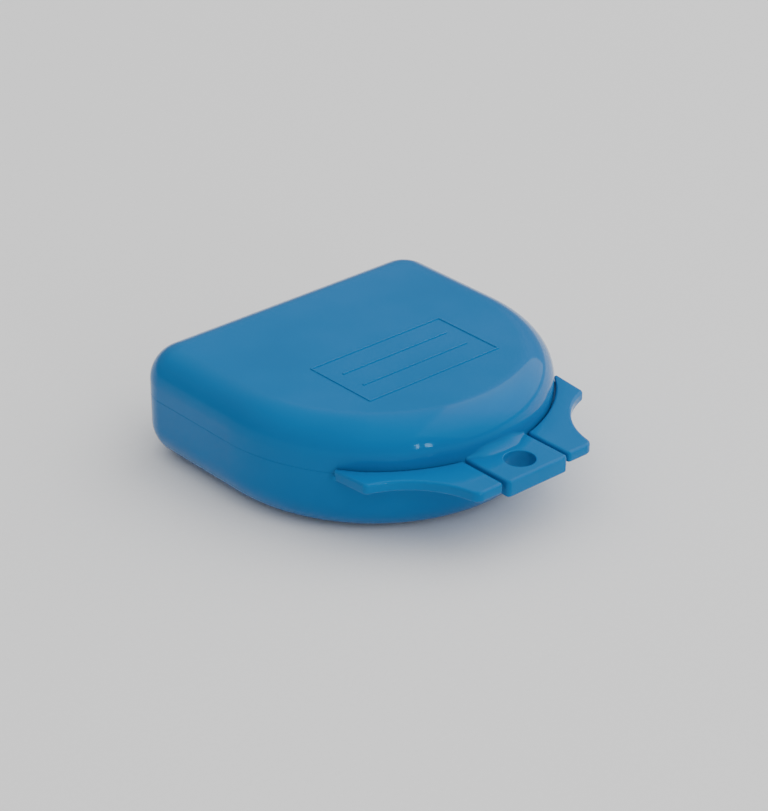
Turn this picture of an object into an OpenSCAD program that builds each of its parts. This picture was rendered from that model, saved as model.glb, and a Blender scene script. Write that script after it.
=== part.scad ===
// Dental appliance box: a D-shaped case of two hinged shells that snaps shut at the front.
// The origin is on the table, below the middle of the closed case. Front is -Y, up is +Z.

/* [Body] */
// Width across the straight sides
body_w = 75; // [70:0.5:82]
// Length of the straight sides, from the rear wall
side_len = 30.4; // [24:0.2:36]
// Depth of the half-elliptic nose beyond the straight sides
nose_len = 38.8; // [36:0.1:42]
// Plan radius of the two rear corners
corner_r = 8.2; // [7.8:0.1:12]
// Height of the closed case, without the raised lines of the name field
body_h = 24.5; // [24:0.5:32]
// Height of the parting plane above the table
split_z = 14.3; // [11.5:0.1:14.5]
// Radius of the bottom edge of the base
base_edge_r = 7.8; // [5:0.1:8.2]
// Radius of the top edge of the lid
lid_edge_r = 7.4; // [5:0.1:7.8]
// Wall thickness of both shells
wall_t = 1.6; // [1.4:0.1:2.4]

/* [Rim] */
// Thickness of the lip that stands on the base rim
lip_t = 0.7; // [0.5:0.05:0.8]
// Height of the lip above the parting plane
lip_h = 1.5; // [0.8:0.1:1.8]
// Play between the lip and the rebate in the lid
lip_gap = 0.15; // [0.1:0.05:0.25]

/* [Hinge] */
// Number of knuckles, with the first and the last on the base
knuckle_count = 5; // [3:2:7]
// Length of the whole hinge
hinge_len = 46; // [36:1:56]
// Outside radius of a knuckle
knuckle_r = 2; // [1.8:0.1:2.6]
// End play between two knuckles
knuckle_gap = 0.25; // [0.15:0.05:0.5]
// Play between the knuckles and the rear walls
barrel_gap = 0.3; // [0.25:0.05:0.6]
// Play between the lid, opened flat, and the heels that stop it
stop_gap = 0.15; // [0.05:0.05:0.2]
// Radius of the hinge pin
pin_r = 0.8; // [0.7:0.05:1]
// Radial play of the lid knuckles on the pin
pin_play = 0.05; // [0.03:0.01:0.08]
// Radial squeeze of the base knuckles on the pin
pin_squeeze = 0.02; // [0.01:0.01:0.03]
// Distance of the pin ends inside the outer knuckles
pin_recess = 0.4; // [0.2:0.1:1]
// Chamfer on the pin ends
pin_chamfer = 0.25; // [0.1:0.05:0.4]

/* [Finger wings] */
// Height of the wing tops above the parting plane
wing_rise = 1.2; // [0.6:0.1:1.5]
// Thickness of the wings
wing_t = 2.4; // [1.8:0.1:2.8]
// Play between the wings and the lid wall
wing_gap = 0.3; // [0.2:0.05:0.5]
// Reach of the wing fronts ahead of the nose
wing_reach = 10.9; // [9:0.1:12]
// Width of each wing's front edge, from the slot to the scoop
wing_front_w = 5.4; // [5:0.1:8]
// Distance of the outer wing corners inside the sides of the case
wing_corner_in = 8.3; // [7:0.1:9.5]
// Distance of the outer wing corners behind the nose
wing_corner_back = 7.2; // [5:0.1:8]
// Width of the wing tips, out from the wall
wing_tip_w = 1.05; // [1:0.05:2]
// Distance of the wing tips behind the nose
wing_tip_back = 14.4; // [12:0.1:16]
// Radius of the finger scoop in each wing
scoop_r = 19; // [15:0.5:24]
// Depth of the finger scoop behind the line from the outer corner to the front
scoop_depth = 2.3; // [1.5:0.1:4]
// Plan radius of the wing corners
wing_round_r = 1.2; // [0.3:0.1:1.2]

/* [Centre tab] */
// Width of the tab
tab_w = 16; // [13:0.5:16.5]
// Reach of the tab ahead of the nose
tab_reach = 11.5; // [10:0.1:13]
// Height of the tab top above the parting plane
tab_rise = 1.3; // [1:0.1:1.5]
// Thickness of the tab
tab_t = 3.8; // [3.3:0.1:4.5]
// Play between the tab and the base wall behind it
tab_gap = 0.25; // [0.2:0.05:0.35]
// Width of the slots between the tab and the wings
slot_w = 0.8; // [0.6:0.1:2]
// Plan radius of the tab's front corners
tab_round_r = 0.9; // [0.6:0.1:2]
// Radius of the cove between the lid and the tab
tab_cove_r = 2.2; // [0.8:0.1:2.4]
// Radius of the lanyard hole
hole_r = 3.2; // [2:0.1:3.6]
// Distance of the hole's centre behind the tab front
hole_inset = 5.4; // [4.6:0.1:6]
// Chamfer around both ends of the lanyard hole
hole_chamfer = 0.3; // [0.1:0.1:0.5]

/* [Catch] */
// Width of the bead on the base that the tab snaps over
catch_w = 9; // [6:0.5:12]
// Radius of the bead
catch_r = 0.6; // [0.5:0.05:0.7]
// Distance of the bead's middle below the parting plane
catch_drop = 1.1; // [1:0.05:1.2]
// Play around the bead in the groove behind the tab
catch_gap = 0.12; // [0.1:0.02:0.2]

/* [Name field] */
// Width of the field
field_w = 35; // [24:0.5:40]
// Depth of the field
field_d = 18.5; // [10:0.5:22]
// Distance of the field behind the nose
field_back = 18.3; // [14:0.1:24]
// Width of the raised lines
line_w = 0.5; // [0.4:0.1:0.8]
// Height of the raised lines above the lid
line_h = 0.2; // [0.1:0.05:0.4]
// Number of writing lines in the field
writing_lines = 2; // [1:1:3]
// Distance of the writing lines' ends from the border
writing_inset = 3.5; // [2:0.5:6]

/* [Moulding marks] */
// Radius of the gate recess under the base
gate_r = 2.5; // [1.5:0.1:4]
// Radius of the ejector marks inside both shells
ejector_r = 2.5; // [1.5:0.1:3.5]
// Depth of the gate recess and of the ejector marks
mark_depth = 0.2; // [0.1:0.05:0.4]
// Half distance between the ejector marks of a pair
ejector_x = 20; // [12:0.5:22]
// Distance of the rear marks from the rear wall, and of the front ones ahead of the straight sides
ejector_y = 11; // [8:0.5:16]

/* [Hidden] */
$fn = 96;

half_w = body_w / 2;
body_d = side_len + nose_len;
// The nose is a half circle as wide as the case, stretched lengthwise by this factor.
nose_stretch = nose_len / half_w;
// Each edge radius is limited by the straight wall that the rim needs, and by the rear corners.
base_edge = min(base_edge_r, corner_r, split_z - catch_drop - catch_r);
lid_edge = min(lid_edge_r, corner_r, body_h - split_z - lip_h - lip_gap);

// The hinge axis lies on the parting plane, behind the rear walls.
hinge_y = knuckle_r + barrel_gap;
heel_y = 2 * hinge_y - stop_gap;
knuckle_pitch = (hinge_len + knuckle_gap) / knuckle_count;
knuckle_len = knuckle_pitch - knuckle_gap;
pin_len = hinge_len - 2 * pin_recess;

tab_front = body_d + tab_reach;
wing_front = body_d + wing_reach;
// The rear walls stand here, so that the closed case is centred on the origin.
rear_y = (tab_front - heel_y) / 2;

// A joined feature reaches this far into the wall that carries it.
root = lip_t / 2;
// A cut runs this far past the faces that it opens.
past = 1;

// Quarter disc between +X and +Y
module quarter(r) {
    intersection() {
        circle(r);
        square(r);
    }
}

// Plan of the closed case, drawn in from the walls by inset. The rear walls are on y = 0.
module case_plan(inset = 0) {
    half = half_w - inset;
    straight = half_w - corner_r;
    translate([-half, -side_len]) square([2 * half, side_len - corner_r]);
    translate([-straight, -corner_r]) square([2 * straight, corner_r - inset]);
    for (side = [0, 1]) mirror([side, 0]) translate([straight, -corner_r]) quarter(corner_r - inset);
    translate([0, -side_len]) scale([1, nose_stretch]) mirror([0, 1])
        for (side = [0, 1]) mirror([side, 0]) quarter(half);
}

// Builds a shell from its section, which has the floor below $floor_w and the edge and wall
// beyond it. The pieces meet on flat cuts: nose, sides, rear wall and the two rear corners.
module round_the_case(edge_r) {
    straight = half_w - corner_r;
    translate([0, -side_len, 0]) scale([1, nose_stretch, 1]) rotate_extrude(angle = -180)
        shell_section(half_w - edge_r) children();
    for (side = [0, 1]) mirror([side, 0, 0]) {
        translate([0, -corner_r, 0]) rotate([90, 0, 0]) linear_extrude(side_len - corner_r)
            shell_section(half_w - edge_r) children();
        translate([0, -corner_r, 0]) rotate([90, 0, 90]) linear_extrude(straight)
            shell_section(corner_r - edge_r) children();
        translate([straight, -corner_r, 0]) rotate_extrude(angle = 90)
            shell_section(corner_r - edge_r) children();
    }
}

module shell_section(floor_w) {
    $floor_w = floor_w;
    children();
}

// Turns a section about the middle of the nose, equally to both sides of the front
module along_the_nose(sweep) {
    translate([0, -side_len, 0]) scale([1, nose_stretch, 1]) rotate([0, 0, -90 - sweep / 2])
        rotate_extrude(angle = sweep) children();
}

// Floor, and a quarter ring between it and an upright wall
module floor_and_edge(edge_r) {
    square([$floor_w, wall_t]);
    translate([$floor_w, edge_r]) mirror([0, 1]) difference() {
        quarter(edge_r);
        circle(edge_r - wall_t);
    }
}

module wall(from_z, to_z, from_x, to_x) {
    translate([$floor_w, 0])
        polygon([[from_x, from_z], [to_x, from_z], [to_x, to_z], [from_x, to_z]]);
}

module base_section() {
    inner = base_edge - wall_t;
    floor_and_edge(base_edge);
    wall(base_edge, split_z, inner, base_edge);
    wall(base_edge, split_z + lip_h, inner, inner + lip_t);
}

module lid_section() {
    inner = lid_edge - wall_t;
    translate([0, body_h]) mirror([0, 1]) floor_and_edge(lid_edge);
    wall(split_z, body_h - lid_edge, inner + lip_t + lip_gap, lid_edge);
    wall(split_z + lip_h + lip_gap, body_h - lid_edge, inner, lid_edge);
}

// Places a section of the hinge at knuckle number i, seen from +X with the axis at its origin
module knuckle(i) {
    translate([i * knuckle_pitch - hinge_len / 2, hinge_y, split_z])
        rotate([90, 0, 90]) linear_extrude(knuckle_len) children();
}

// A base knuckle has a heel behind it that stops the lid when it lies open.
module base_knuckle_section() {
    for (side = [0, 1]) mirror([side, 0]) quarter(knuckle_r);
    translate([-hinge_y - root, -knuckle_r]) square([heel_y + root, knuckle_r]);
}

module lid_knuckle_section() {
    for (turn = [90, 180, 270]) rotate(turn + 90) quarter(knuckle_r);
    translate([-hinge_y - root, 0]) square([hinge_y + root, knuckle_r]);
}

module pin_bore(r) {
    translate([-hinge_len / 2 - past, hinge_y, split_z]) rotate([0, 90, 0])
        cylinder(r = r, h = hinge_len + 2 * past);
}

// Half width of the case at y, in front of the straight sides
function case_half(y) = half_w * sqrt(1 - pow((y + side_len) / nose_len, 2));

// Plan of the wing on the +X side, which runs on under the lid
module wing_plan() {
    inner_x = tab_w / 2 + slot_w;
    front = [inner_x + wing_front_w, -wing_front];
    corner = [half_w - wing_corner_in, wing_corner_back - body_d];
    tip_y = wing_tip_back - body_d;
    tip = [case_half(tip_y) + wing_tip_w, tip_y];
    chord = corner - front;
    outward = [chord[1], -chord[0]] / norm(chord);
    scoop_centre = (corner + front) / 2 + outward * (scoop_r - scoop_depth);
    offset(r = wing_round_r) offset(delta = -wing_round_r) difference() {
        polygon([[inner_x, tip_y], [inner_x, -wing_front], front, corner, tip]);
        translate(scoop_centre) circle(scoop_r);
    }
}

module finger_wings() {
    for (side = [0, 1]) mirror([side, 0, 0]) difference() {
        translate([0, 0, split_z + wing_rise - wing_t]) linear_extrude(wing_t) difference() {
            wing_plan();
            case_plan(root);
        }
        translate([0, 0, split_z]) linear_extrude(wing_rise + past) case_plan(-wing_gap);
    }
}

module tab_plan() {
    straight = tab_w / 2 - tab_round_r;
    translate([-tab_w / 2, tab_round_r - tab_front]) square([tab_w, tab_front - tab_round_r - side_len]);
    translate([-straight, -tab_front]) square([2 * straight, tab_round_r]);
    for (side = [0, 1]) mirror([side, 0])
        translate([straight, tab_round_r - tab_front]) mirror([0, 1]) quarter(tab_round_r);
}

// The cove touches the tab's top and the lid, on its straight wall or on the round above it.
module tab_cove() {
    tab_top = split_z + tab_rise;
    cove_z = tab_top + tab_cove_r;
    reach = lid_edge + tab_cove_r;
    lean = asin(max(0, cove_z - body_h + lid_edge) / reach);
    cove_x = half_w - lid_edge + reach * cos(lean);
    inward = (tab_cove_r + root) * [cos(lean), sin(lean)];
    intersection() {
        along_the_nose(90) difference() {
            polygon([
                [half_w - root, tab_top - root], [cove_x, tab_top - root],
                [cove_x, cove_z], [cove_x, cove_z] - inward
            ]);
            translate([cove_x, cove_z]) circle(tab_cove_r);
        }
        translate([-tab_w / 2, -tab_front, split_z]) cube([tab_w, tab_front, body_h - split_z]);
    }
}

module lanyard_hole() {
    bottom = split_z + tab_rise - tab_t;
    translate([0, hole_inset - tab_front, bottom]) {
        translate([0, 0, -past]) cylinder(r = hole_r, h = tab_t + 2 * past);
        cylinder(r1 = hole_r + hole_chamfer, r2 = hole_r, h = hole_chamfer);
        translate([0, 0, tab_t - hole_chamfer])
            cylinder(r1 = hole_r, r2 = hole_r + hole_chamfer, h = hole_chamfer);
    }
}

// The bead on the base, or with play around it the groove behind the tab
module catch_bead(play = 0) {
    along_the_nose(2 * asin((catch_w / 2 + play) / half_w))
        translate([half_w, split_z - catch_drop]) circle(catch_r + play);
}

module centre_tab() {
    difference() {
        union() {
            translate([0, 0, split_z + tab_rise - tab_t]) linear_extrude(tab_t) difference() {
                tab_plan();
                case_plan(root);
            }
            tab_cove();
        }
        translate([0, 0, split_z]) mirror([0, 0, 1]) linear_extrude(tab_t) case_plan(-tab_gap);
        lanyard_hole();
        catch_bead(catch_gap);
    }
}

// Raised border of the name field, with plain lines to write on
module name_field() {
    step = field_d / (writing_lines + 1);
    translate([-field_w / 2, field_back - body_d, body_h - root]) linear_extrude(root + line_h) {
        difference() {
            square([field_w, field_d]);
            translate([line_w, line_w]) square([field_w - 2 * line_w, field_d - 2 * line_w]);
        }
        for (i = [1:writing_lines]) translate([writing_inset, i * step - line_w / 2])
            square([field_w - 2 * writing_inset, line_w]);
    }
}

module ejector_marks(z) {
    for (x = [-ejector_x, ejector_x], y = [-ejector_y, -side_len - ejector_y])
        translate([x, y, z]) cylinder(r = ejector_r, h = mark_depth + past);
}

module base_shell() {
    color("#2f80b4") translate([0, rear_y, 0]) difference() {
        union() {
            round_the_case(base_edge) base_section();
            finger_wings();
            catch_bead();
            for (i = [0:2:knuckle_count - 1]) knuckle(i) base_knuckle_section();
        }
        pin_bore(pin_r - pin_squeeze);
        ejector_marks(wall_t - mark_depth);
        translate([0, -side_len, -past]) cylinder(r = gate_r, h = mark_depth + past);
    }
}

module lid_shell() {
    color("#3a8bbc") translate([0, rear_y, 0]) difference() {
        union() {
            round_the_case(lid_edge) lid_section();
            name_field();
            centre_tab();
            for (i = [1:2:knuckle_count - 2]) knuckle(i) lid_knuckle_section();
        }
        pin_bore(pin_r + pin_play);
        ejector_marks(body_h - wall_t - past);
    }
}

module hinge_pin() {
    color("#b9bdc2") translate([-pin_len / 2, rear_y + hinge_y, split_z]) rotate([0, 90, 0])
        rotate_extrude() polygon([
            [0, 0], [pin_r - pin_chamfer, 0], [pin_r, pin_chamfer],
            [pin_r, pin_len - pin_chamfer], [pin_r - pin_chamfer, pin_len], [0, pin_len]
        ]);
}

base_shell();
lid_shell();
hinge_pin();
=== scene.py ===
import math

import bmesh
import bpy
import numpy as np
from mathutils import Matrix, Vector


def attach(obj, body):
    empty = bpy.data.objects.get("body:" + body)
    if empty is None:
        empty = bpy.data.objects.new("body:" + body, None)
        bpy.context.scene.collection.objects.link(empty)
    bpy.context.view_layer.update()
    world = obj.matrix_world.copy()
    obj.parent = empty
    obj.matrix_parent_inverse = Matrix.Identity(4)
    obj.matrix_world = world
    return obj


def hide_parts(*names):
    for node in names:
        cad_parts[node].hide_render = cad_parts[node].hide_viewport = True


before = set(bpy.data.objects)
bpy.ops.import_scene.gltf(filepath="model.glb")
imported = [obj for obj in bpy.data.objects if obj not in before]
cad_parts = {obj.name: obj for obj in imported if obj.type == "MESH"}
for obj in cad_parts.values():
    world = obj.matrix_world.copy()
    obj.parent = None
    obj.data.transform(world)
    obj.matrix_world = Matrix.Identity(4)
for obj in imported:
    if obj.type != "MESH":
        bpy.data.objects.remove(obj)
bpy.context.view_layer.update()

# Viewpoint. The camera stands where the photographer stood, above the front left corner.
# Its place and focal length come from a fit of the case's outline, tab, wings and hole.
PHOTO_HIGH_PX = 811
FOCAL_PX = 2704.2
SENSOR_MM = 36.0
NEAREST_M = 0.01
CAMERA_PLACE = (-0.32317, -0.36523, 0.27522)
AWAY_FROM_CASE = (-0.58059, -0.66155, 0.47461)
camera_data = bpy.data.cameras.new("camera")
camera_data.sensor_width = SENSOR_MM
camera_data.lens = FOCAL_PX * SENSOR_MM / PHOTO_HIGH_PX
camera_data.clip_start = NEAREST_M
camera = bpy.data.objects.new("camera", camera_data)
bpy.context.scene.collection.objects.link(camera)
camera.location = CAMERA_PLACE
camera.rotation_euler = Vector(AWAY_FROM_CASE).to_track_quat("Z", "Y").to_euler()
bpy.context.scene.camera = camera

# Moulded polypropylene, both shells. It is dyed through, polished in the mould and slightly
# waxy: a clear gloss with a soft edge and a tinge of the dye, over a body that lets a little
# light in.
MM = 0.001


def linear(hex_colour):
    """Turns an sRGB hex colour to a linear one."""
    parts = [int(hex_colour[i:i + 2], 16) / 255.0 for i in (1, 3, 5)]
    return tuple(c / 12.92 if c <= 0.04045 else ((c + 0.055) / 1.055) ** 2.4 for c in parts) + (1.0,)


def add(tree, kind, settings=None, links=None):
    """Adds a node, with its settings and values by name and its links by input."""
    node = tree.nodes.new(kind)
    for key, value in (settings or {}).items():
        if key in node.bl_rna.properties:
            setattr(node, key, value)
        else:
            node.inputs[key].default_value = value
    for key, socket in (links or {}).items():
        tree.links.new(socket, node.inputs[key])
    return node


polypropylene = bpy.data.materials.new("moulded_polypropylene")
polypropylene.use_nodes = True
tree = polypropylene.node_tree
tree.nodes.clear()
place = add(tree, "ShaderNodeTexCoord").outputs["Object"]
# Flow of the melt: clouds about 25 mm across, hardly darker than the rest
flow = add(tree, "ShaderNodeTexNoise", {"Scale": 40.0, "Detail": 2.0, "Roughness": 0.5}, {"Vector": place})
dye = add(tree, "ShaderNodeValToRGB", links={"Fac": flow.outputs["Fac"]})
dye.color_ramp.elements[0].position = 0.3
dye.color_ramp.elements[0].color = linear("#1866a0")
dye.color_ramp.elements[1].position = 0.7
dye.color_ramp.elements[1].color = linear("#1a6ba6")
# Handling leaves the gloss a little uneven, in patches of 4 mm
rubbed = add(tree, "ShaderNodeTexNoise", {"Scale": 240.0, "Detail": 3.0}, {"Vector": place})
gloss = add(tree, "ShaderNodeMapRange", {"From Min": 0.3, "From Max": 0.7, "To Min": 0.055, "To Max": 0.08},
            {"Value": rubbed.outputs["Fac"]})
# Skin of the mould: waves of 1.2 mm, only micrometres high
skin = add(tree, "ShaderNodeTexNoise", {"Scale": 800.0, "Detail": 1.0}, {"Vector": place})
bump = add(tree, "ShaderNodeBump", {"Strength": 0.05, "Distance": 0.02 * MM},
           {"Height": skin.outputs["Fac"]})
plastic = add(tree, "ShaderNodeBsdfPrincipled",
              {"IOR": 1.49, "Specular IOR Level": 0.19, "Specular Tint": linear("#98daf8"),
               "Subsurface Weight": 0.06, "Subsurface Radius": (0.3, 0.7, 1.0), "Subsurface Scale": MM},
              {"Base Color": dye.outputs["Color"], "Roughness": gloss.outputs["Result"],
               "Normal": bump.outputs["Normal"]})
add(tree, "ShaderNodeOutputMaterial", links={"Surface": plastic.outputs["BSDF"]})

# Base shell wall. One injection moulding: a tray whose wall, bottom edge and rim lip keep one
# section all round the case, so the section is swept along the outline of the case.
REAR_Y = 38.125
BODY_W = 75.0
SIDE_LEN = 30.4
NOSE_LEN = 38.8
CORNER_R = 8.2
BODY_H = 24.5
SPLIT_Z = 14.3
BASE_EDGE_R = 7.8
WALL_T = 1.6
LIP_T = 0.7
LIP_H = 1.5
RIM_R = 0.08
SAME_POINT = 0.002
SAME_LEVEL = 0.001
CORNER_STEPS = 24
NOSE_STEPS = 128
MARK_SLOPE = 0.08
MARK_STEPS = 48
HALF_W = BODY_W / 2
STRETCH = NOSE_LEN / HALF_W
NOSE_Y = REAR_Y - SIDE_LEN


def nose_y(x, half):
    """Y at x on the front of a nose that is as much longer as its half width is wider."""
    return NOSE_Y - STRETCH * math.sqrt(max(half * half - x * x, 0.0))


def case_outline():
    """Outline of the case, anticlockwise: the two rear corners, then the half-elliptic nose."""
    points = []
    for side, start in ((1, 0.0), (-1, 90.0)):
        for k in range(CORNER_STEPS + 1):
            a = math.radians(start + 90.0 * k / CORNER_STEPS)
            points.append((side * (HALF_W - CORNER_R) + CORNER_R * math.cos(a),
                           REAR_Y - CORNER_R + CORNER_R * math.sin(a)))
    for k in range(NOSE_STEPS + 1):
        a = math.pi * k / NOSE_STEPS
        points.append((-HALF_W * math.cos(a), NOSE_Y - NOSE_LEN * math.sin(a)))
    return points


def section_tree():
    """Sweeps a shell's wall section round the outline that comes in as geometry."""
    tree = bpy.data.node_groups.new("wall_section_round_the_case", "GeometryNodeTree")
    sockets = tree.interface
    sockets.new_socket("Outline", in_out="INPUT", socket_type="NodeSocketGeometry")
    for name in ("Edge radius", "Wall thickness", "Wall height", "Step inset", "Step height",
                 "Rim radius"):
        sockets.new_socket(name, in_out="INPUT", socket_type="NodeSocketFloat")
    sockets.new_socket("Finish", in_out="INPUT", socket_type="NodeSocketMaterial")
    sockets.new_socket("Shell", in_out="OUTPUT", socket_type="NodeSocketGeometry")
    given = add(tree, "NodeGroupInput").outputs
    inner_r = add(tree, "ShaderNodeMath", {"operation": "SUBTRACT"},
                  {0: given["Edge radius"], 1: given["Wall thickness"]}).outputs["Value"]
    top = add(tree, "ShaderNodeMath", {"operation": "ADD"},
              {0: given["Wall height"], 1: given["Step height"]}).outputs["Value"]
    # Corners of the section: floor outside, bottom edge, rim, step, wall inside, floor inside
    corners = [("Edge radius", None), (None, None), (None, "Wall height"), ("Step inset", "Wall height"),
               ("Step inset", top), ("Wall thickness", top), ("Wall thickness", "Wall thickness"),
               ("Edge radius", "Wall thickness")]
    rounding = [None, "Edge radius", "Rim radius", None, "Rim radius", "Rim radius", inner_r, None]
    arc_points = [0, 18, 4, 0, 3, 3, 14, 0]
    number = add(tree, "GeometryNodeInputIndex").outputs["Index"]

    def choice(kind, values):
        """One value for each corner, picked by its number."""
        node = add(tree, "GeometryNodeIndexSwitch", {"data_type": kind})
        while len(node.index_switch_items) < len(values):
            node.index_switch_items.new()
        tree.links.new(number, node.inputs["Index"])
        for socket, value in zip(list(node.inputs)[1:], values):
            if isinstance(value, (int, float)):
                socket.default_value = value
            elif value is not None:
                tree.links.new(value, socket)
        return node.outputs[0]

    def source(value):
        """A given size where there is a name, or else the value itself."""
        return given[value] if isinstance(value, str) else value

    spots = []
    for inset, height in corners:
        spot = add(tree, "ShaderNodeCombineXYZ")
        if inset:
            tree.links.new(source(inset), spot.inputs["X"])
        if height is not None:
            tree.links.new(source(height), spot.inputs["Y"])
        spots.append(spot.outputs["Vector"])
    # The sweep lays the section's X outwards and its Y downwards, so both are turned round
    turned = add(tree, "ShaderNodeVectorMath", {"operation": "SCALE", "Scale": -1.0},
                 {"Vector": choice("VECTOR", spots)})
    line = add(tree, "GeometryNodeMeshLine", {"Count": len(corners)})
    bent = add(tree, "GeometryNodeSetPosition", links={"Geometry": line.outputs["Mesh"],
                                                       "Position": turned.outputs["Vector"]})
    section = add(tree, "GeometryNodeMeshToCurve", links={"Mesh": bent.outputs["Geometry"]})
    soft = add(tree, "GeometryNodeFilletCurve", {"mode": "POLY", "Limit Radius": False},
               {"Curve": section.outputs["Curve"], "Radius": choice("FLOAT", [source(r) for r in rounding]),
                "Count": choice("INT", arc_points)})
    outline = add(tree, "GeometryNodeMeshToCurve", links={"Mesh": given["Outline"]})
    upright = add(tree, "GeometryNodeSetCurveNormal", {"mode": "Z_UP"}, {"Curve": outline.outputs["Curve"]})
    swept = add(tree, "GeometryNodeCurveToMesh", links={"Curve": upright.outputs["Curve"],
                                                        "Profile Curve": soft.outputs["Curve"]})
    closed = add(tree, "GeometryNodeMergeByDistance", {"Distance": SAME_POINT * MM},
                 {"Geometry": swept.outputs["Mesh"]})
    real = add(tree, "GeometryNodeRealizeInstances", links={"Geometry": closed.outputs["Geometry"]})
    finished = add(tree, "GeometryNodeSetMaterial", links={"Geometry": real.outputs["Geometry"],
                                                           "Material": given["Finish"]})
    add(tree, "NodeGroupOutput", links={"Shell": finished.outputs["Geometry"]})
    return tree


def grown(mesh, tree, values):
    """Runs a geometry tree on a mesh, with its named inputs set, and returns the plain result."""
    carrier = bpy.data.objects.new("carrier", mesh)
    bpy.context.scene.collection.objects.link(carrier)
    modifier = carrier.modifiers.new("grow", "NODES")
    modifier.node_group = tree
    for item in tree.interface.items_tree:
        if item.in_out == "INPUT" and item.name in values:
            modifier[item.identifier] = values[item.name]
    result = bpy.data.meshes.new_from_object(carrier.evaluated_get(bpy.context.evaluated_depsgraph_get()))
    carrier.modifiers.remove(modifier)
    bpy.data.objects.remove(carrier)
    return result


def outline_mesh():
    """The outline of the case as a ring of edges."""
    points = case_outline()
    mesh = bpy.data.meshes.new("case_outline")
    ring = [(k, (k + 1) % len(points)) for k in range(len(points))]
    mesh.from_pydata([(x * MM, y * MM, 0.0) for x, y in points], ring, [])
    return mesh


wall_tree = section_tree()


def shell_wall(edge_r, wall_h, step_in, step_h):
    """A shell's wall, lying on its flat side, with a step at the rim: a lip, or below 0 a rebate."""
    mesh = grown(outline_mesh(), wall_tree,
                 {"Edge radius": edge_r * MM, "Wall thickness": WALL_T * MM, "Wall height": wall_h * MM,
                  "Step inset": step_in * MM, "Step height": step_h * MM, "Rim radius": RIM_R * MM,
                  "Finish": polypropylene})
    bm = bmesh.new()
    bm.from_mesh(mesh)
    return bm


def close_floor(bm, z, marks, depth):
    """Fills a floor's rim, with round marks sunk into it by depth towards the wall's middle."""
    edges = [e for e in bm.edges if len(e.link_faces) == 1
             and all(abs(v.co.z - z * MM) < SAME_LEVEL * MM for v in e.verts)]
    turn = [2 * math.pi * k / MARK_STEPS for k in range(MARK_STEPS)]
    for x, y, r in marks:
        rings = []
        for radius, level in ((r, z), (r - MARK_SLOPE, z + depth)):
            rings.append([bm.verts.new(((x + radius * math.cos(a)) * MM, (y + radius * math.sin(a)) * MM,
                                        level * MM)) for a in turn])
        for k in range(MARK_STEPS):
            n = (k + 1) % MARK_STEPS
            bm.faces.new((rings[0][k], rings[0][n], rings[1][n], rings[1][k]))
            edges.append(bm.edges.get((rings[0][k], rings[0][n])))
        bm.faces.new(rings[1])
    bmesh.ops.triangle_fill(bm, use_beauty=True, edges=edges)


GATE_R = 2.5
MARK_DEPTH = 0.2
EJECTOR_R = 2.5
EJECTOR_X = 20.0
EJECTOR_Y = 11.0
ejectors = [(x, y, EJECTOR_R) for x in (-EJECTOR_X, EJECTOR_X)
            for y in (REAR_Y - EJECTOR_Y, NOSE_Y - EJECTOR_Y)]

base = shell_wall(BASE_EDGE_R, SPLIT_Z, WALL_T - LIP_T, LIP_H)
close_floor(base, 0.0, [(0.0, NOSE_Y, GATE_R)], MARK_DEPTH)
close_floor(base, WALL_T, ejectors, -MARK_DEPTH)
bmesh.ops.recalc_face_normals(base, faces=base.faces)

# Finger wings, moulded on the base rim. Two flat plates with a scoop for the fingertip, which
# hold the base down while a thumb lifts the tab. A fine gap keeps them off the lid wall.
NOSE_FRONT = NOSE_Y - NOSE_LEN
WING_RISE = 1.2
WING_T = 2.4
WING_GAP = 0.3
WING_REACH = 10.9
WING_FRONT = NOSE_FRONT - WING_REACH
WING_INNER_X = 8.8
WING_FRONT_W = 5.4
WING_CORNER_X = 29.2
WING_CORNER_BACK = 7.2
WING_TIP_BACK = 14.4
WING_TIP_Y = NOSE_FRONT + WING_TIP_BACK
WING_TIP_W = 1.05
SCOOP_R = 19.0
SCOOP_DEPTH = 2.3
SCOOP_POINTS = 33
# Plan radii: both ends of the slot, the front, the outer corner, the tip and the root
WING_CORNERS_R = [0.7, 0.8, 2.2, 1.2, 0.3, 0.2]
WING_TOP_R = 0.6
WING_UNDER_R = 0.65
TIP_SHARE = 0.1
TIP_FADE = 5.0
# The strip that ties a wing to the wall, from inside the wall to under the wing. It is a little
# shorter than the wing and sunk in its faces.
ROOT_IN = 0.35
ROOT_OUT = 1.1
ROOT_EDGE_R = 0.3
ROOT_SHORT = 0.02
ROOT_SUNK = 0.01
ROOT_POINTS = 31
ALONG_WING_POINTS = 41
ARC_STEP_DEG = 9
FEWEST_ARC_STEPS = 4
CLOSEST_POINTS = 0.01
# Two stretches are parallel when they turn by less, and meet when they miss by no more
PARALLEL = 1e-12
SLACK = 1e-9


def inset_outline(points, distance):
    """Moves an outline's points inwards by a distance each, or outwards where it is negative."""
    p = np.array(points, float)
    along = np.roll(p, -1, 0) - p
    along /= np.linalg.norm(along, axis=1)[:, None]
    inward = np.column_stack([-along[:, 1], along[:, 0]])
    before = np.roll(inward, 1, 0)
    shift = (inward + before) / (1.0 + (inward * before).sum(1))[:, None]
    return p + np.reshape(distance, (-1, 1)) * shift


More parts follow.
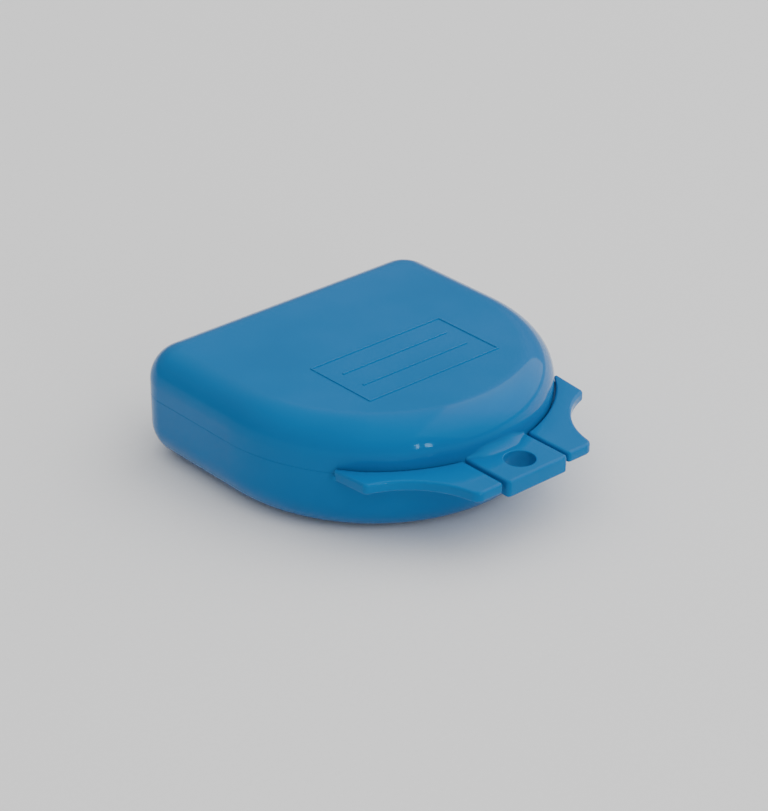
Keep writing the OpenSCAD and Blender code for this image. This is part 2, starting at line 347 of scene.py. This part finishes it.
def soft_corners(sides, radii):
    """Joins the sides of an outline, each a row of points, with an arc of its own at each corner."""
    sides = [np.array(s, float) for s in sides]

    def moved(row, r):
        """The row of points, moved inwards by r."""
        along = np.diff(row, axis=0)
        along /= np.linalg.norm(along, axis=1)[:, None]
        inward = np.column_stack([-along[:, 1], along[:, 0]])
        after, before = inward[1:], inward[:-1]
        between = (after + before) / (1.0 + (after * before).sum(1))[:, None]
        return row + r * np.vstack([inward[:1], between, inward[-1:]])

    def crossing(a, b):
        """The last point where two rows of points cross."""
        best = None
        for i in range(len(a) - 1):
            for j in range(len(b) - 1):
                one = a[i + 1] - a[i]
                two = b[j + 1] - b[j]
                apart = b[j] - a[i]
                turn = one[0] * two[1] - one[1] * two[0]
                if abs(turn) < PARALLEL:
                    continue
                on_one = (apart[0] * two[1] - apart[1] * two[0]) / turn
                on_two = (apart[0] * one[1] - apart[1] * one[0]) / turn
                if -SLACK <= on_one <= 1 + SLACK and -SLACK <= on_two <= 1 + SLACK:
                    best = a[i] + on_one * one
        return best

    def foot(row, point):
        """The stretch of a row that is nearest to a point, and the nearest place on it."""
        best = (math.inf, 0, None)
        for i in range(len(row) - 1):
            stretch = row[i + 1] - row[i]
            share = min(max(np.dot(point - row[i], stretch) / np.dot(stretch, stretch), 0.0), 1.0)
            near = row[i] + share * stretch
            best = min(best, (float(np.linalg.norm(point - near)), i, tuple(near)))
        return best[1], np.array(best[2])

    arcs = []
    for k, r in enumerate(radii):
        centre = crossing(moved(sides[k - 1], r), moved(sides[k], r))
        before, start = foot(sides[k - 1], centre)
        after, end = foot(sides[k], centre)
        first = math.atan2(*(start - centre)[::-1])
        last = math.atan2(*(end - centre)[::-1])
        while last < first:
            last += 2 * math.pi
        steps = max(FEWEST_ARC_STEPS, int(math.degrees(last - first) / ARC_STEP_DEG))
        arcs.append((before, after, [centre + r * np.array([math.cos(a), math.sin(a)])
                                     for a in np.linspace(first, last, steps + 1)]))
    outline = []
    for k, side in enumerate(sides):
        outline += arcs[k][2]
        until = arcs[(k + 1) % len(sides)][0]
        outline += list(side[arcs[k][1] + 1:until + 1])
    keep = [outline[0]]
    for point in outline[1:]:
        if np.linalg.norm(point - keep[-1]) > CLOSEST_POINTS:
            keep.append(point)
    if np.linalg.norm(keep[0] - keep[-1]) <= CLOSEST_POINTS:
        keep.pop()
    return [tuple(point) for point in keep]


def plate(bm, outline, low, high, low_r, high_r, holes=(), hole_r=0.0, turn=None, steps=4, fade=None):
    """A flat plate with rounded edges. The outline runs anticlockwise, and so do its holes.
    Turn puts each point in its place. Where the plate is slim, fade gives the share of the
    rounding that it has room for."""
    turn = turn or (lambda x, y, z: (x * MM, y * MM, z * MM))
    share = np.array([fade(x, y) if fade else 1.0 for x, y in outline])

    def levels(bottom_r, top_r):
        """Inset and height of each ring, from the bottom to the top."""
        quarter = [math.radians(90.0 * k / steps) for k in range(steps + 1)]
        rows = [(0, low)]
        if bottom_r:
            rows = [(bottom_r * (1 - math.sin(a)), low + bottom_r * (1 - math.cos(a))) for a in quarter]
        if not top_r:
            return rows + [(0, high)]
        return rows + [(top_r * (1 - math.cos(a)), high - top_r * (1 - math.sin(a))) for a in quarter]

    ends = ([], [])
    walls = [(outline, levels(low_r, high_r), 1)] + [(h, levels(hole_r, hole_r), -1) for h in holes]
    for points, rows, sign in walls:
        rings = []
        for inset, z in rows:
            ring = inset_outline(points, inset * share if sign > 0 else -inset) if inset else points
            rings.append([bm.verts.new(turn(x, y, z)) for x, y in ring])
        count = len(points)
        for below, above in zip(rings, rings[1:]):
            for k in range(count):
                n = (k + 1) % count
                quad = (below[k], below[n], above[n], above[k])
                bm.faces.new(quad if sign > 0 else quad[::-1])
        for end, ring in zip(ends, (rings[0], rings[-1])):
            end += [bm.edges.get((ring[k], ring[(k + 1) % count])) for k in range(count)]
    for end in ends:
        bmesh.ops.triangle_fill(bm, use_beauty=True, edges=end)


def moulding(build):
    """Builds a closed form by itself, points its faces outwards and returns it."""
    bm = bmesh.new()
    build(bm)
    bmesh.ops.recalc_face_normals(bm, faces=bm.faces)
    return bm


def join(whole, part):
    """Adds a form to another, and frees it."""
    mesh = bpy.data.meshes.new("part")
    part.to_mesh(mesh)
    part.free()
    whole.from_mesh(mesh)
    bpy.data.meshes.remove(mesh)


def along_nose(x_from, x_to, half, count):
    """Points along the front of a nose, from one x to another."""
    turns = np.linspace(math.asin(x_from / half), math.asin(x_to / half), count)
    return [(half * math.sin(t), nose_y(half * math.sin(t), half)) for t in turns]


def nose_x(y, half):
    """X at y on the right side of a nose."""
    return half * math.sqrt(1.0 - ((y - NOSE_Y) / (half * STRETCH)) ** 2)


def wing_outline():
    """Outline of the right wing, from the slot by the tab along the front and back to the wall."""
    front = np.array([WING_INNER_X + WING_FRONT_W, WING_FRONT])
    corner = np.array([WING_CORNER_X, NOSE_FRONT + WING_CORNER_BACK])
    tip = (nose_x(WING_TIP_Y, HALF_W) + WING_TIP_W, WING_TIP_Y)
    chord = corner - front
    outward = np.array([chord[1], -chord[0]]) / float(np.linalg.norm(chord))
    centre = (corner + front) / 2 + outward * (SCOOP_R - SCOOP_DEPTH)
    gap = HALF_W + WING_GAP
    # The scoop ends where its circle meets the front edge and the outer edge
    scoop_x = centre[0] - math.sqrt(SCOOP_R ** 2 - (WING_FRONT - centre[1]) ** 2)
    edge = np.array(tip) - corner
    away = corner - centre
    along = np.dot(edge, edge)
    across = np.dot(away, edge)
    spread = (across ** 2 - along * (np.dot(away, away) - SCOOP_R ** 2)) ** 0.5
    hits = [t for t in ((-across - spread) / along, (-across + spread) / along) if 0 <= t <= 1]
    meet = corner + edge * hits[0] if hits else corner
    start = math.atan2(WING_FRONT - centre[1], scoop_x - centre[0]) % (2 * math.pi)
    end = math.atan2(*(meet - centre)[::-1]) % (2 * math.pi)
    scoop = [centre + SCOOP_R * np.array([math.cos(a), math.sin(a)])
             for a in np.linspace(start, end, SCOOP_POINTS)]
    inner = (WING_INNER_X, nose_y(WING_INNER_X, gap))
    root = (nose_x(WING_TIP_Y, gap), WING_TIP_Y)
    sides = [[inner, (WING_INNER_X, WING_FRONT)], [(WING_INNER_X, WING_FRONT), tuple(scoop[0])], scoop,
             [tuple(scoop[-1]), tip], [tip, root],
             along_nose(root[0], WING_INNER_X, gap, ALONG_WING_POINTS)]
    return soft_corners(sides, WING_CORNERS_R)


def towards_tip(x, y):
    """Share of the edge rounding, which fades out towards the slim tips."""
    return min(1.0, TIP_SHARE + math.hypot(abs(x) - nose_x(WING_TIP_Y, HALF_W), y - WING_TIP_Y) / TIP_FADE)


def mirrored(points):
    """The outline on the other side, still anticlockwise."""
    return [(-x, y) for x, y in reversed(points)]


wing = wing_outline()
wing_z = (SPLIT_Z + WING_RISE - WING_T, SPLIT_Z + WING_RISE)
root_x = WING_INNER_X + ROOT_SHORT
root_y = WING_TIP_Y - ROOT_SHORT
root_strip = (along_nose(root_x, nose_x(root_y, HALF_W + ROOT_OUT), HALF_W + ROOT_OUT, ROOT_POINTS)
              + along_nose(nose_x(root_y, HALF_W - ROOT_IN), root_x, HALF_W - ROOT_IN, ROOT_POINTS))
root_z = (wing_z[0] + ROOT_SUNK, SPLIT_Z - ROOT_SUNK)
for side in (wing, mirrored(wing)):
    join(base, moulding(lambda bm: plate(bm, side, *wing_z, WING_UNDER_R, WING_TOP_R, fade=towards_tip)))
for side in (root_strip, mirrored(root_strip)):
    join(base, moulding(lambda bm: plate(bm, side, *root_z, ROOT_EDGE_R, 0.0)))

# Catch bead, a small round rib of the same plastic, moulded on the base wall behind the tab. The
# groove in the back of the tab snaps over it and keeps the case shut.
CATCH_W = 9.0
CATCH_R = 0.6
CATCH_DROP = 1.1
CATCH_Z = SPLIT_Z - CATCH_DROP
CATCH_GAP = 0.12
SLIMMEST = 0.01
BEAD_STATIONS = 61
BEAD_STEPS = 20


def catch_bead(bm, grow):
    """The bead, or with some growth the form that its groove is cut with. Its ends are round."""
    half = CATCH_W / 2 + grow
    full_r = CATCH_R + grow
    rings = []
    for x, y in along_nose(-half, half, HALF_W, BEAD_STATIONS):
        left = max(half - abs(x), 0.0)
        r = full_r
        if left < full_r:
            r = math.sqrt(max(full_r ** 2 - (full_r - left) ** 2, SLIMMEST ** 2))
        slope = math.atan2(x, -(y - NOSE_Y) / STRETCH)
        rings.append([bm.verts.new(((x + r * math.cos(a) * math.sin(slope)) * MM,
                                    (y - r * math.cos(a) * math.cos(slope)) * MM,
                                    (CATCH_Z + r * math.sin(a)) * MM))
                      for a in [2 * math.pi * k / BEAD_STEPS for k in range(BEAD_STEPS)]])
    for one, two in zip(rings, rings[1:]):
        for k in range(BEAD_STEPS):
            n = (k + 1) % BEAD_STEPS
            bm.faces.new((one[k], one[n], two[n], two[k]))
    bm.faces.new(rings[0])
    bm.faces.new(rings[-1])


join(base, moulding(lambda bm: catch_bead(bm, 0.0)))

# Hinge knuckles, moulded on the rear walls. Three on the base, with a heel that stops the open
# lid, and two on the lid between them. One knuckle is made and repeated along the pin.
HINGE_BACK = 2.3
HINGE_Y = REAR_Y + HINGE_BACK
KNUCKLE_R = 2.0
KNUCKLE_PITCH = 9.25
KNUCKLE_LEN = 9.0
KNUCKLE_EDGE_R = 0.12
HINGE_LEN = 46.0
# From the pin's axis, back to the end of the heel and forward into the rear wall
HEEL = 2.15
ROOT = 2.65
PIN_R = 0.8
PIN_SQUEEZE = 0.02
BORE_EDGE_R = 0.08
BORE_STEPS = 32
HEEL_ARC_POINTS = 33
LID_ARC_POINTS = 45
SOFT_DEG = 38
EVEN_WEIGHT = 60


def row_tree():
    """Repeats a piece in a straight row."""
    tree = bpy.data.node_groups.new("pieces_in_a_row", "GeometryNodeTree")
    sockets = tree.interface
    sockets.new_socket("Piece", in_out="INPUT", socket_type="NodeSocketGeometry")
    sockets.new_socket("Copies", in_out="INPUT", socket_type="NodeSocketInt")
    sockets.new_socket("Step", in_out="INPUT", socket_type="NodeSocketVector")
    sockets.new_socket("Finish", in_out="INPUT", socket_type="NodeSocketMaterial")
    sockets.new_socket("Row", in_out="OUTPUT", socket_type="NodeSocketGeometry")
    given = add(tree, "NodeGroupInput").outputs
    spots = add(tree, "GeometryNodeMeshLine", links={"Count": given["Copies"], "Offset": given["Step"]})
    copies = add(tree, "GeometryNodeInstanceOnPoints", links={"Points": spots.outputs["Mesh"],
                                                              "Instance": given["Piece"]})
    real = add(tree, "GeometryNodeRealizeInstances", links={"Geometry": copies.outputs["Instances"]})
    finished = add(tree, "GeometryNodeSetMaterial", links={"Geometry": real.outputs["Geometry"],
                                                           "Material": given["Finish"]})
    add(tree, "NodeGroupOutput", links={"Row": finished.outputs["Geometry"]})
    return tree


repeat_tree = row_tree()


def in_a_row(whole, part, copies, step):
    """Adds a form to another, repeated by a step."""
    mesh = bpy.data.meshes.new("one")
    part.to_mesh(mesh)
    part.free()
    row = grown(mesh, repeat_tree,
                {"Copies": copies, "Step": [s * MM for s in step], "Finish": polypropylene})
    whole.from_mesh(row)
    bpy.data.meshes.remove(row)


def circle(x, y, r, count):
    """Points round a circle."""
    return [(x + r * math.cos(a), y + r * math.sin(a))
            for a in [2 * math.pi * k / count for k in range(count)]]


def arc(r, start, end, count):
    """Points along an arc round the pin's axis, from one angle in degrees to another."""
    return [(r * math.cos(a), r * math.sin(a)) for a in np.radians(np.linspace(start, end, count))]


def knuckle(number, section, bore_r):
    """The knuckle with this number, counted from 0 at the left end of the hinge."""
    start = number * KNUCKLE_PITCH - HINGE_LEN / 2
    return moulding(lambda bm: plate(
        bm, section, start, start + KNUCKLE_LEN, KNUCKLE_EDGE_R, KNUCKLE_EDGE_R,
        holes=[circle(0.0, 0.0, bore_r, BORE_STEPS)], hole_r=BORE_EDGE_R,
        turn=lambda y, z, x: (x * MM, (HINGE_Y + y) * MM, (SPLIT_Z + z) * MM), steps=2))


base_knuckle = ([(-ROOT, -KNUCKLE_R), (HEEL, -KNUCKLE_R), (HEEL, 0.0)]
                + arc(KNUCKLE_R, 0, 180, HEEL_ARC_POINTS) + [(-ROOT, 0.0)])
lid_knuckle = [(-ROOT, 0.0)] + arc(KNUCKLE_R, -180, 90, LID_ARC_POINTS) + [(-ROOT, KNUCKLE_R)]
in_a_row(base, knuckle(0, base_knuckle, PIN_R - PIN_SQUEEZE), 3, (2 * KNUCKLE_PITCH, 0.0, 0.0))


def finished_piece(bm, name):
    """Turns the joined form into a piece: soft where it is round, crisp where it has an edge."""
    for edge in bm.edges:
        edge.smooth = len(edge.link_faces) == 2 and edge.calc_face_angle(0.0) < math.radians(SOFT_DEG)
    for face in bm.faces:
        face.smooth = True
    mesh = bpy.data.meshes.new(name)
    bm.to_mesh(mesh)
    bm.free()
    mesh.materials.clear()
    mesh.materials.append(polypropylene)
    piece = bpy.data.objects.new(name, mesh)
    bpy.context.scene.collection.objects.link(piece)
    even = piece.modifiers.new("even_gloss", "WEIGHTED_NORMAL")
    even.mode = "FACE_AREA"
    even.weight = EVEN_WEIGHT
    even.keep_sharp = True
    return piece


base_piece = finished_piece(base, "tray_with_wings")
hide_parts("base_shell")
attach(base_piece, "base")

# Lid wall and top, the second moulding. The same swept section, turned over, with a rebate that
# takes the lip of the base and a larger flat on top.
LID_EDGE_R = 7.4
LIP_GAP = 0.15
lid = shell_wall(LID_EDGE_R, BODY_H - SPLIT_Z, WALL_T - LIP_T - LIP_GAP, -(LIP_H + LIP_GAP))
for vertex in lid.verts:
    vertex.co.z = BODY_H * MM - vertex.co.z
close_floor(lid, BODY_H, [], 0.0)
close_floor(lid, BODY_H - WALL_T, ejectors, MARK_DEPTH)
bmesh.ops.recalc_face_normals(lid, faces=lid.faces)

# Centre tab, moulded on the lid: a thick plate with a lanyard hole, soft edges all round and a
# cove that runs up into the lid. Behind it a fine gap clears the wall of the base.
TAB_W = 16.0
TAB_REACH = 11.5
TAB_RISE = 1.3
TAB_FRONT = NOSE_FRONT - TAB_REACH
TAB_TOP = SPLIT_Z + TAB_RISE
TAB_T = 3.8
TAB_GAP = 0.25
TAB_ROUND_R = 0.9
TAB_BACK_R = 0.65
TAB_EDGE_R = 0.6
TAB_UNDER_R = 0.65
HOLE_EDGE_R = 0.2
COVE_R = 2.2
COVE_END_R = 0.45
COVE_FADE = 5.0
# How far the cove's form reaches into the lid wall, past its own end and under the tab's faces
COVE_IN = 0.35
COVE_PAST = 0.4
COVE_SUNK = 0.01
COVE_DIP = 0.004
COVE_SHORT = 0.02
COVE_POINTS = 17
COVE_COLUMNS = 41
HOLE_R = 3.2
HOLE_INSET = 5.4
HOLE_Y = TAB_FRONT + HOLE_INSET
HOLE_STEPS = 72
TAB_BACK_POINTS = 31
PIN_PLAY = 0.05


def tab_outline():
    """Outline of the tab, whose back follows the nose."""
    half = TAB_W / 2
    back = nose_y(half, HALF_W + TAB_GAP)
    sides = [[(-half, back), (-half, TAB_FRONT)], [(-half, TAB_FRONT), (half, TAB_FRONT)],
             [(half, TAB_FRONT), (half, back)],
             along_nose(half, -half, HALF_W + TAB_GAP, TAB_BACK_POINTS)]
    return soft_corners(sides, [TAB_BACK_R, TAB_ROUND_R, TAB_ROUND_R, TAB_BACK_R])


def cove_rows(r):
    """Section of a cove of radius r, from inside the lid wall round to the top of the tab.
    Of each point it gives the half width of the nose that it lies on, its height, and 1 where it
    belongs to the tab's top and sinks with the tab's rounded sides."""
    edge_z = BODY_H - LID_EDGE_R
    cove_z = TAB_TOP + r
    lean = math.asin(max(0.0, cove_z - edge_z) / (LID_EDGE_R + r))
    cove_x = HALF_W - LID_EDGE_R + (LID_EDGE_R + r) * math.cos(lean)
    inside = r + COVE_IN
    rows = [(HALF_W - COVE_IN, SPLIT_Z + COVE_SUNK, 0),
            (cove_x - inside * math.cos(lean), cove_z - inside * math.sin(lean), 1)]
    for a in np.linspace(math.pi + lean, 1.5 * math.pi, COVE_POINTS):
        rows.append((cove_x + r * math.cos(a), cove_z + r * math.sin(a), 1))
    past = cove_x + COVE_PAST
    return rows + [(past, TAB_TOP - COVE_DIP, 1), (past, SPLIT_Z + COVE_SUNK, 0)]


def cove(bm):
    """The cove and what lies under it. It fades out towards the tab's sides, which are rounded."""
    half = TAB_W / 2 - COVE_SHORT
    ends = [half - TAB_EDGE_R * (1 - math.cos(math.radians(a))) for a in range(0, 91, 15)]
    middle = list(np.linspace(-ends[-1], ends[-1], COVE_COLUMNS))[1:-1]
    grid = []
    for x in [-end for end in ends] + middle + ends[::-1]:
        left = TAB_W / 2 - abs(x)
        t = min(left / COVE_FADE, 1.0)
        rows = cove_rows(COVE_END_R + (COVE_R - COVE_END_R) * t * t * (3 - 2 * t))
        drop = TAB_EDGE_R - math.sqrt(max(TAB_EDGE_R ** 2 - max(TAB_EDGE_R - left, 0.0) ** 2, 0.0))
        grid.append([bm.verts.new((x * MM, nose_y(x, r) * MM, (z - (drop if top else 0.0)) * MM))
                     for r, z, top in rows])
    for one, two in zip(grid, grid[1:]):
        for k in range(len(one)):
            n = (k + 1) % len(one)
            bm.faces.new((one[k], two[k], two[n], one[n]))
    bm.faces.new(grid[0])
    bm.faces.new(grid[-1])


def less(whole, cutter):
    """Cuts a closed form out of another, and closes the hair-fine slits that the cut can leave."""
    pair = []
    for form in (whole, cutter):
        mesh = bpy.data.meshes.new("form")
        form.to_mesh(mesh)
        form.free()
        pair.append(bpy.data.objects.new("form", mesh))
        bpy.context.scene.collection.objects.link(pair[-1])
    cut = pair[0].modifiers.new("cut", "BOOLEAN")
    cut.operation = "DIFFERENCE"
    cut.solver = "EXACT"
    cut.object = pair[1]
    mesh = bpy.data.meshes.new_from_object(pair[0].evaluated_get(bpy.context.evaluated_depsgraph_get()))
    for thing in pair:
        bpy.data.objects.remove(thing)
    bm = bmesh.new()
    bm.from_mesh(mesh)
    bmesh.ops.remove_doubles(bm, verts=bm.verts, dist=SAME_POINT * MM)
    return bm


tab = moulding(lambda bm: plate(
    bm, tab_outline(), TAB_TOP - TAB_T, TAB_TOP, TAB_UNDER_R, TAB_EDGE_R,
    holes=[circle(0.0, HOLE_Y, HOLE_R, HOLE_STEPS)], hole_r=HOLE_EDGE_R, steps=5))
join(lid, less(tab, moulding(lambda bm: catch_bead(bm, CATCH_GAP))))
join(lid, moulding(cove))
# The lid's own two knuckles, which turn freely on the pin
in_a_row(lid, knuckle(1, lid_knuckle, PIN_R + PIN_PLAY), 2, (2 * KNUCKLE_PITCH, 0.0, 0.0))

# Name field, raised on the lid by 0.2 mm: a plain border and plain lines to write on. The mould
# was engraved there, so the lines have soft shoulders.
FIELD_W = 35.0
FIELD_D = 18.5
FIELD_BACK = 18.3
FIELD_Y = NOSE_FRONT + FIELD_BACK
LINE_W = 0.5
LINE_H = 0.2
LINE_SUNK = 0.3
LINE_EDGE_R = 0.18
BORDER_CORNER_R = 0.3
LINE_CORNER_R = 0.2
WRITING_LINES = 2
WRITING_INSET = 3.5


def box_outline(x0, y0, x1, y1, r):
    """Outline of a box, from its left front corner to its right rear one, with rounded corners."""
    sides = [[(x0, y0), (x1, y0)], [(x1, y0), (x1, y1)], [(x1, y1), (x0, y1)], [(x0, y1), (x0, y0)]]
    return soft_corners(sides, [r, r, r, r])


side_x = FIELD_W / 2
line_z = (BODY_H - LINE_SUNK, BODY_H + LINE_H)
border = box_outline(-side_x, FIELD_Y, side_x, FIELD_Y + FIELD_D, BORDER_CORNER_R)
window = box_outline(-side_x + LINE_W, FIELD_Y + LINE_W, side_x - LINE_W, FIELD_Y + FIELD_D - LINE_W,
                     LINE_CORNER_R)
join(lid, moulding(lambda bm: plate(bm, border, *line_z, 0.0, LINE_EDGE_R, holes=[window],
                                    hole_r=LINE_EDGE_R)))
line_step = FIELD_D / (WRITING_LINES + 1)
line_y = FIELD_Y + line_step - LINE_W / 2
writing_line = box_outline(-side_x + WRITING_INSET, line_y, side_x - WRITING_INSET, line_y + LINE_W,
                           LINE_CORNER_R)
in_a_row(lid, moulding(lambda bm: plate(bm, writing_line, *line_z, 0.0, LINE_EDGE_R)), WRITING_LINES,
         (0.0, line_step, 0.0))

lid_piece = finished_piece(lid, "lid_with_tab")
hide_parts("lid_shell")
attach(lid_piece, "lid")

# Hinge pin, a length of drawn stainless wire pressed into the base knuckles. Drawing leaves fine
# lines along it, so the pattern of its colour and gloss is stretched along it.
steel = bpy.data.materials.new("drawn_stainless_steel")
steel.use_nodes = True
tree = steel.node_tree
tree.nodes.clear()
place = add(tree, "ShaderNodeTexCoord").outputs["Object"]
# Drawing lines 0.1 mm apart and about 5 mm long
stretched = add(tree, "ShaderNodeMapping", {"Scale": (0.02, 1.0, 1.0)}, {"Vector": place})
lines = add(tree, "ShaderNodeTexNoise", {"Scale": 9000.0, "Detail": 3.0},
            {"Vector": stretched.outputs["Vector"]})
shade = add(tree, "ShaderNodeValToRGB", links={"Fac": lines.outputs["Fac"]})
shade.color_ramp.elements[0].position = 0.35
shade.color_ramp.elements[0].color = linear("#9da1a5")
shade.color_ramp.elements[1].position = 0.65
shade.color_ramp.elements[1].color = linear("#b9bdc0")
satin = add(tree, "ShaderNodeMapRange", {"To Min": 0.22, "To Max": 0.38}, {"Value": lines.outputs["Fac"]})
wire = add(tree, "ShaderNodeBsdfPrincipled", {"Metallic": 1.0},
           {"Base Color": shade.outputs["Color"], "Roughness": satin.outputs["Result"]})
add(tree, "ShaderNodeOutputMaterial", links={"Surface": wire.outputs["BSDF"]})
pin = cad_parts["hinge_pin"]
pin.data.materials.clear()
pin.data.materials.append(steel)

# Floor, a sheet of pale matt paper that the case stands on, a little mottled by its fibres. It
# reaches 40 m to each side, and lies a hair below the case so that their faces don't share a
# plane.
FLOOR_HALF = 40.0
FLOOR_Z = -0.00005
paper = bpy.data.materials.new("pale_paper")
paper.use_nodes = True
tree = paper.node_tree
tree.nodes.clear()
place = add(tree, "ShaderNodeTexCoord").outputs["Object"]
# Clumps of fibre about 1 mm across
fibres = add(tree, "ShaderNodeTexNoise", {"Scale": 900.0, "Detail": 3.0}, {"Vector": place})
tone = add(tree, "ShaderNodeValToRGB", links={"Fac": fibres.outputs["Fac"]})
tone.color_ramp.elements[0].color = linear("#e9e9e9")
tone.color_ramp.elements[1].color = linear("#eeeeee")
sheet = add(tree, "ShaderNodeBsdfPrincipled", {"Roughness": 0.9, "Specular IOR Level": 0.1},
            {"Base Color": tone.outputs["Color"]})
add(tree, "ShaderNodeOutputMaterial", links={"Surface": sheet.outputs["BSDF"]})
floor_mesh = bpy.data.meshes.new("floor")
floor_corners = [(x * FLOOR_HALF, y * FLOOR_HALF, FLOOR_Z)
                 for x, y in ((-1, -1), (1, -1), (1, 1), (-1, 1))]
floor_mesh.from_pydata(floor_corners, [], [(0, 1, 2, 3)])
floor_mesh.materials.append(paper)
floor = bpy.data.objects.new("floor", floor_mesh)
bpy.context.scene.collection.objects.link(floor)

# Studio light. A tent that is dim near the table, but for a thin pale strip at the horizon, and
# bright overhead. A large soft box hangs at the front right, and two small windows at the front
# give the two small highlights on the nose.
SKY_STRENGTH = 1.52
LAMP_AWAY = 1.2
MIDDLE = (0.0, 0.0, 0.015)
world = bpy.data.worlds.new("studio")
bpy.context.scene.world = world
world.use_nodes = True
tree = world.node_tree
tree.nodes.clear()
height = add(tree, "ShaderNodeSeparateXYZ",
             links={"Vector": add(tree, "ShaderNodeTexCoord").outputs["Generated"]}).outputs["Z"]
rise = add(tree, "ShaderNodeValToRGB", links={"Fac": height})
rise.color_ramp.interpolation = "EASE"
for level in (0.025, 0.08, 0.2, 0.45, 0.75):
    rise.color_ramp.elements.new(level)
for step, grey in zip(rise.color_ramp.elements, (0.62, 0.3, 0.24, 0.2, 0.32, 0.74, 1.02)):
    step.color = (grey, grey, grey, 1.0)
sky = add(tree, "ShaderNodeBackground", {"Strength": SKY_STRENGTH}, {"Color": rise.outputs["Color"]})
add(tree, "ShaderNodeOutputWorld", links={"Surface": sky.outputs["Background"]})


def lamp(name, azimuth, elevation, wide, high, watts):
    """A flat lamp that looks at the middle of the case. Its direction is in degrees."""
    a = math.radians(azimuth)
    e = math.radians(elevation)
    place = (LAMP_AWAY * math.cos(a) * math.cos(e), LAMP_AWAY * math.sin(a) * math.cos(e),
             LAMP_AWAY * math.sin(e) + MIDDLE[2])
    data = bpy.data.lights.new(name, "AREA")
    data.shape = "RECTANGLE"
    data.size = wide
    data.size_y = high
    data.energy = watts
    light = bpy.data.objects.new(name, data)
    light.location = place
    light.rotation_euler = (Vector(place) - Vector(MIDDLE)).to_track_quat("Z", "Y").to_euler()
    bpy.context.scene.collection.objects.link(light)


lamp("long_soft_box", azimuth=-32, elevation=40, wide=2.6, high=1.5, watts=14.0)
lamp("left_window", azimuth=-106.4, elevation=14.2, wide=0.044, high=0.27, watts=0.85)
lamp("right_window", azimuth=-99.6, elevation=13.6, wide=0.078, high=0.25, watts=1.25)
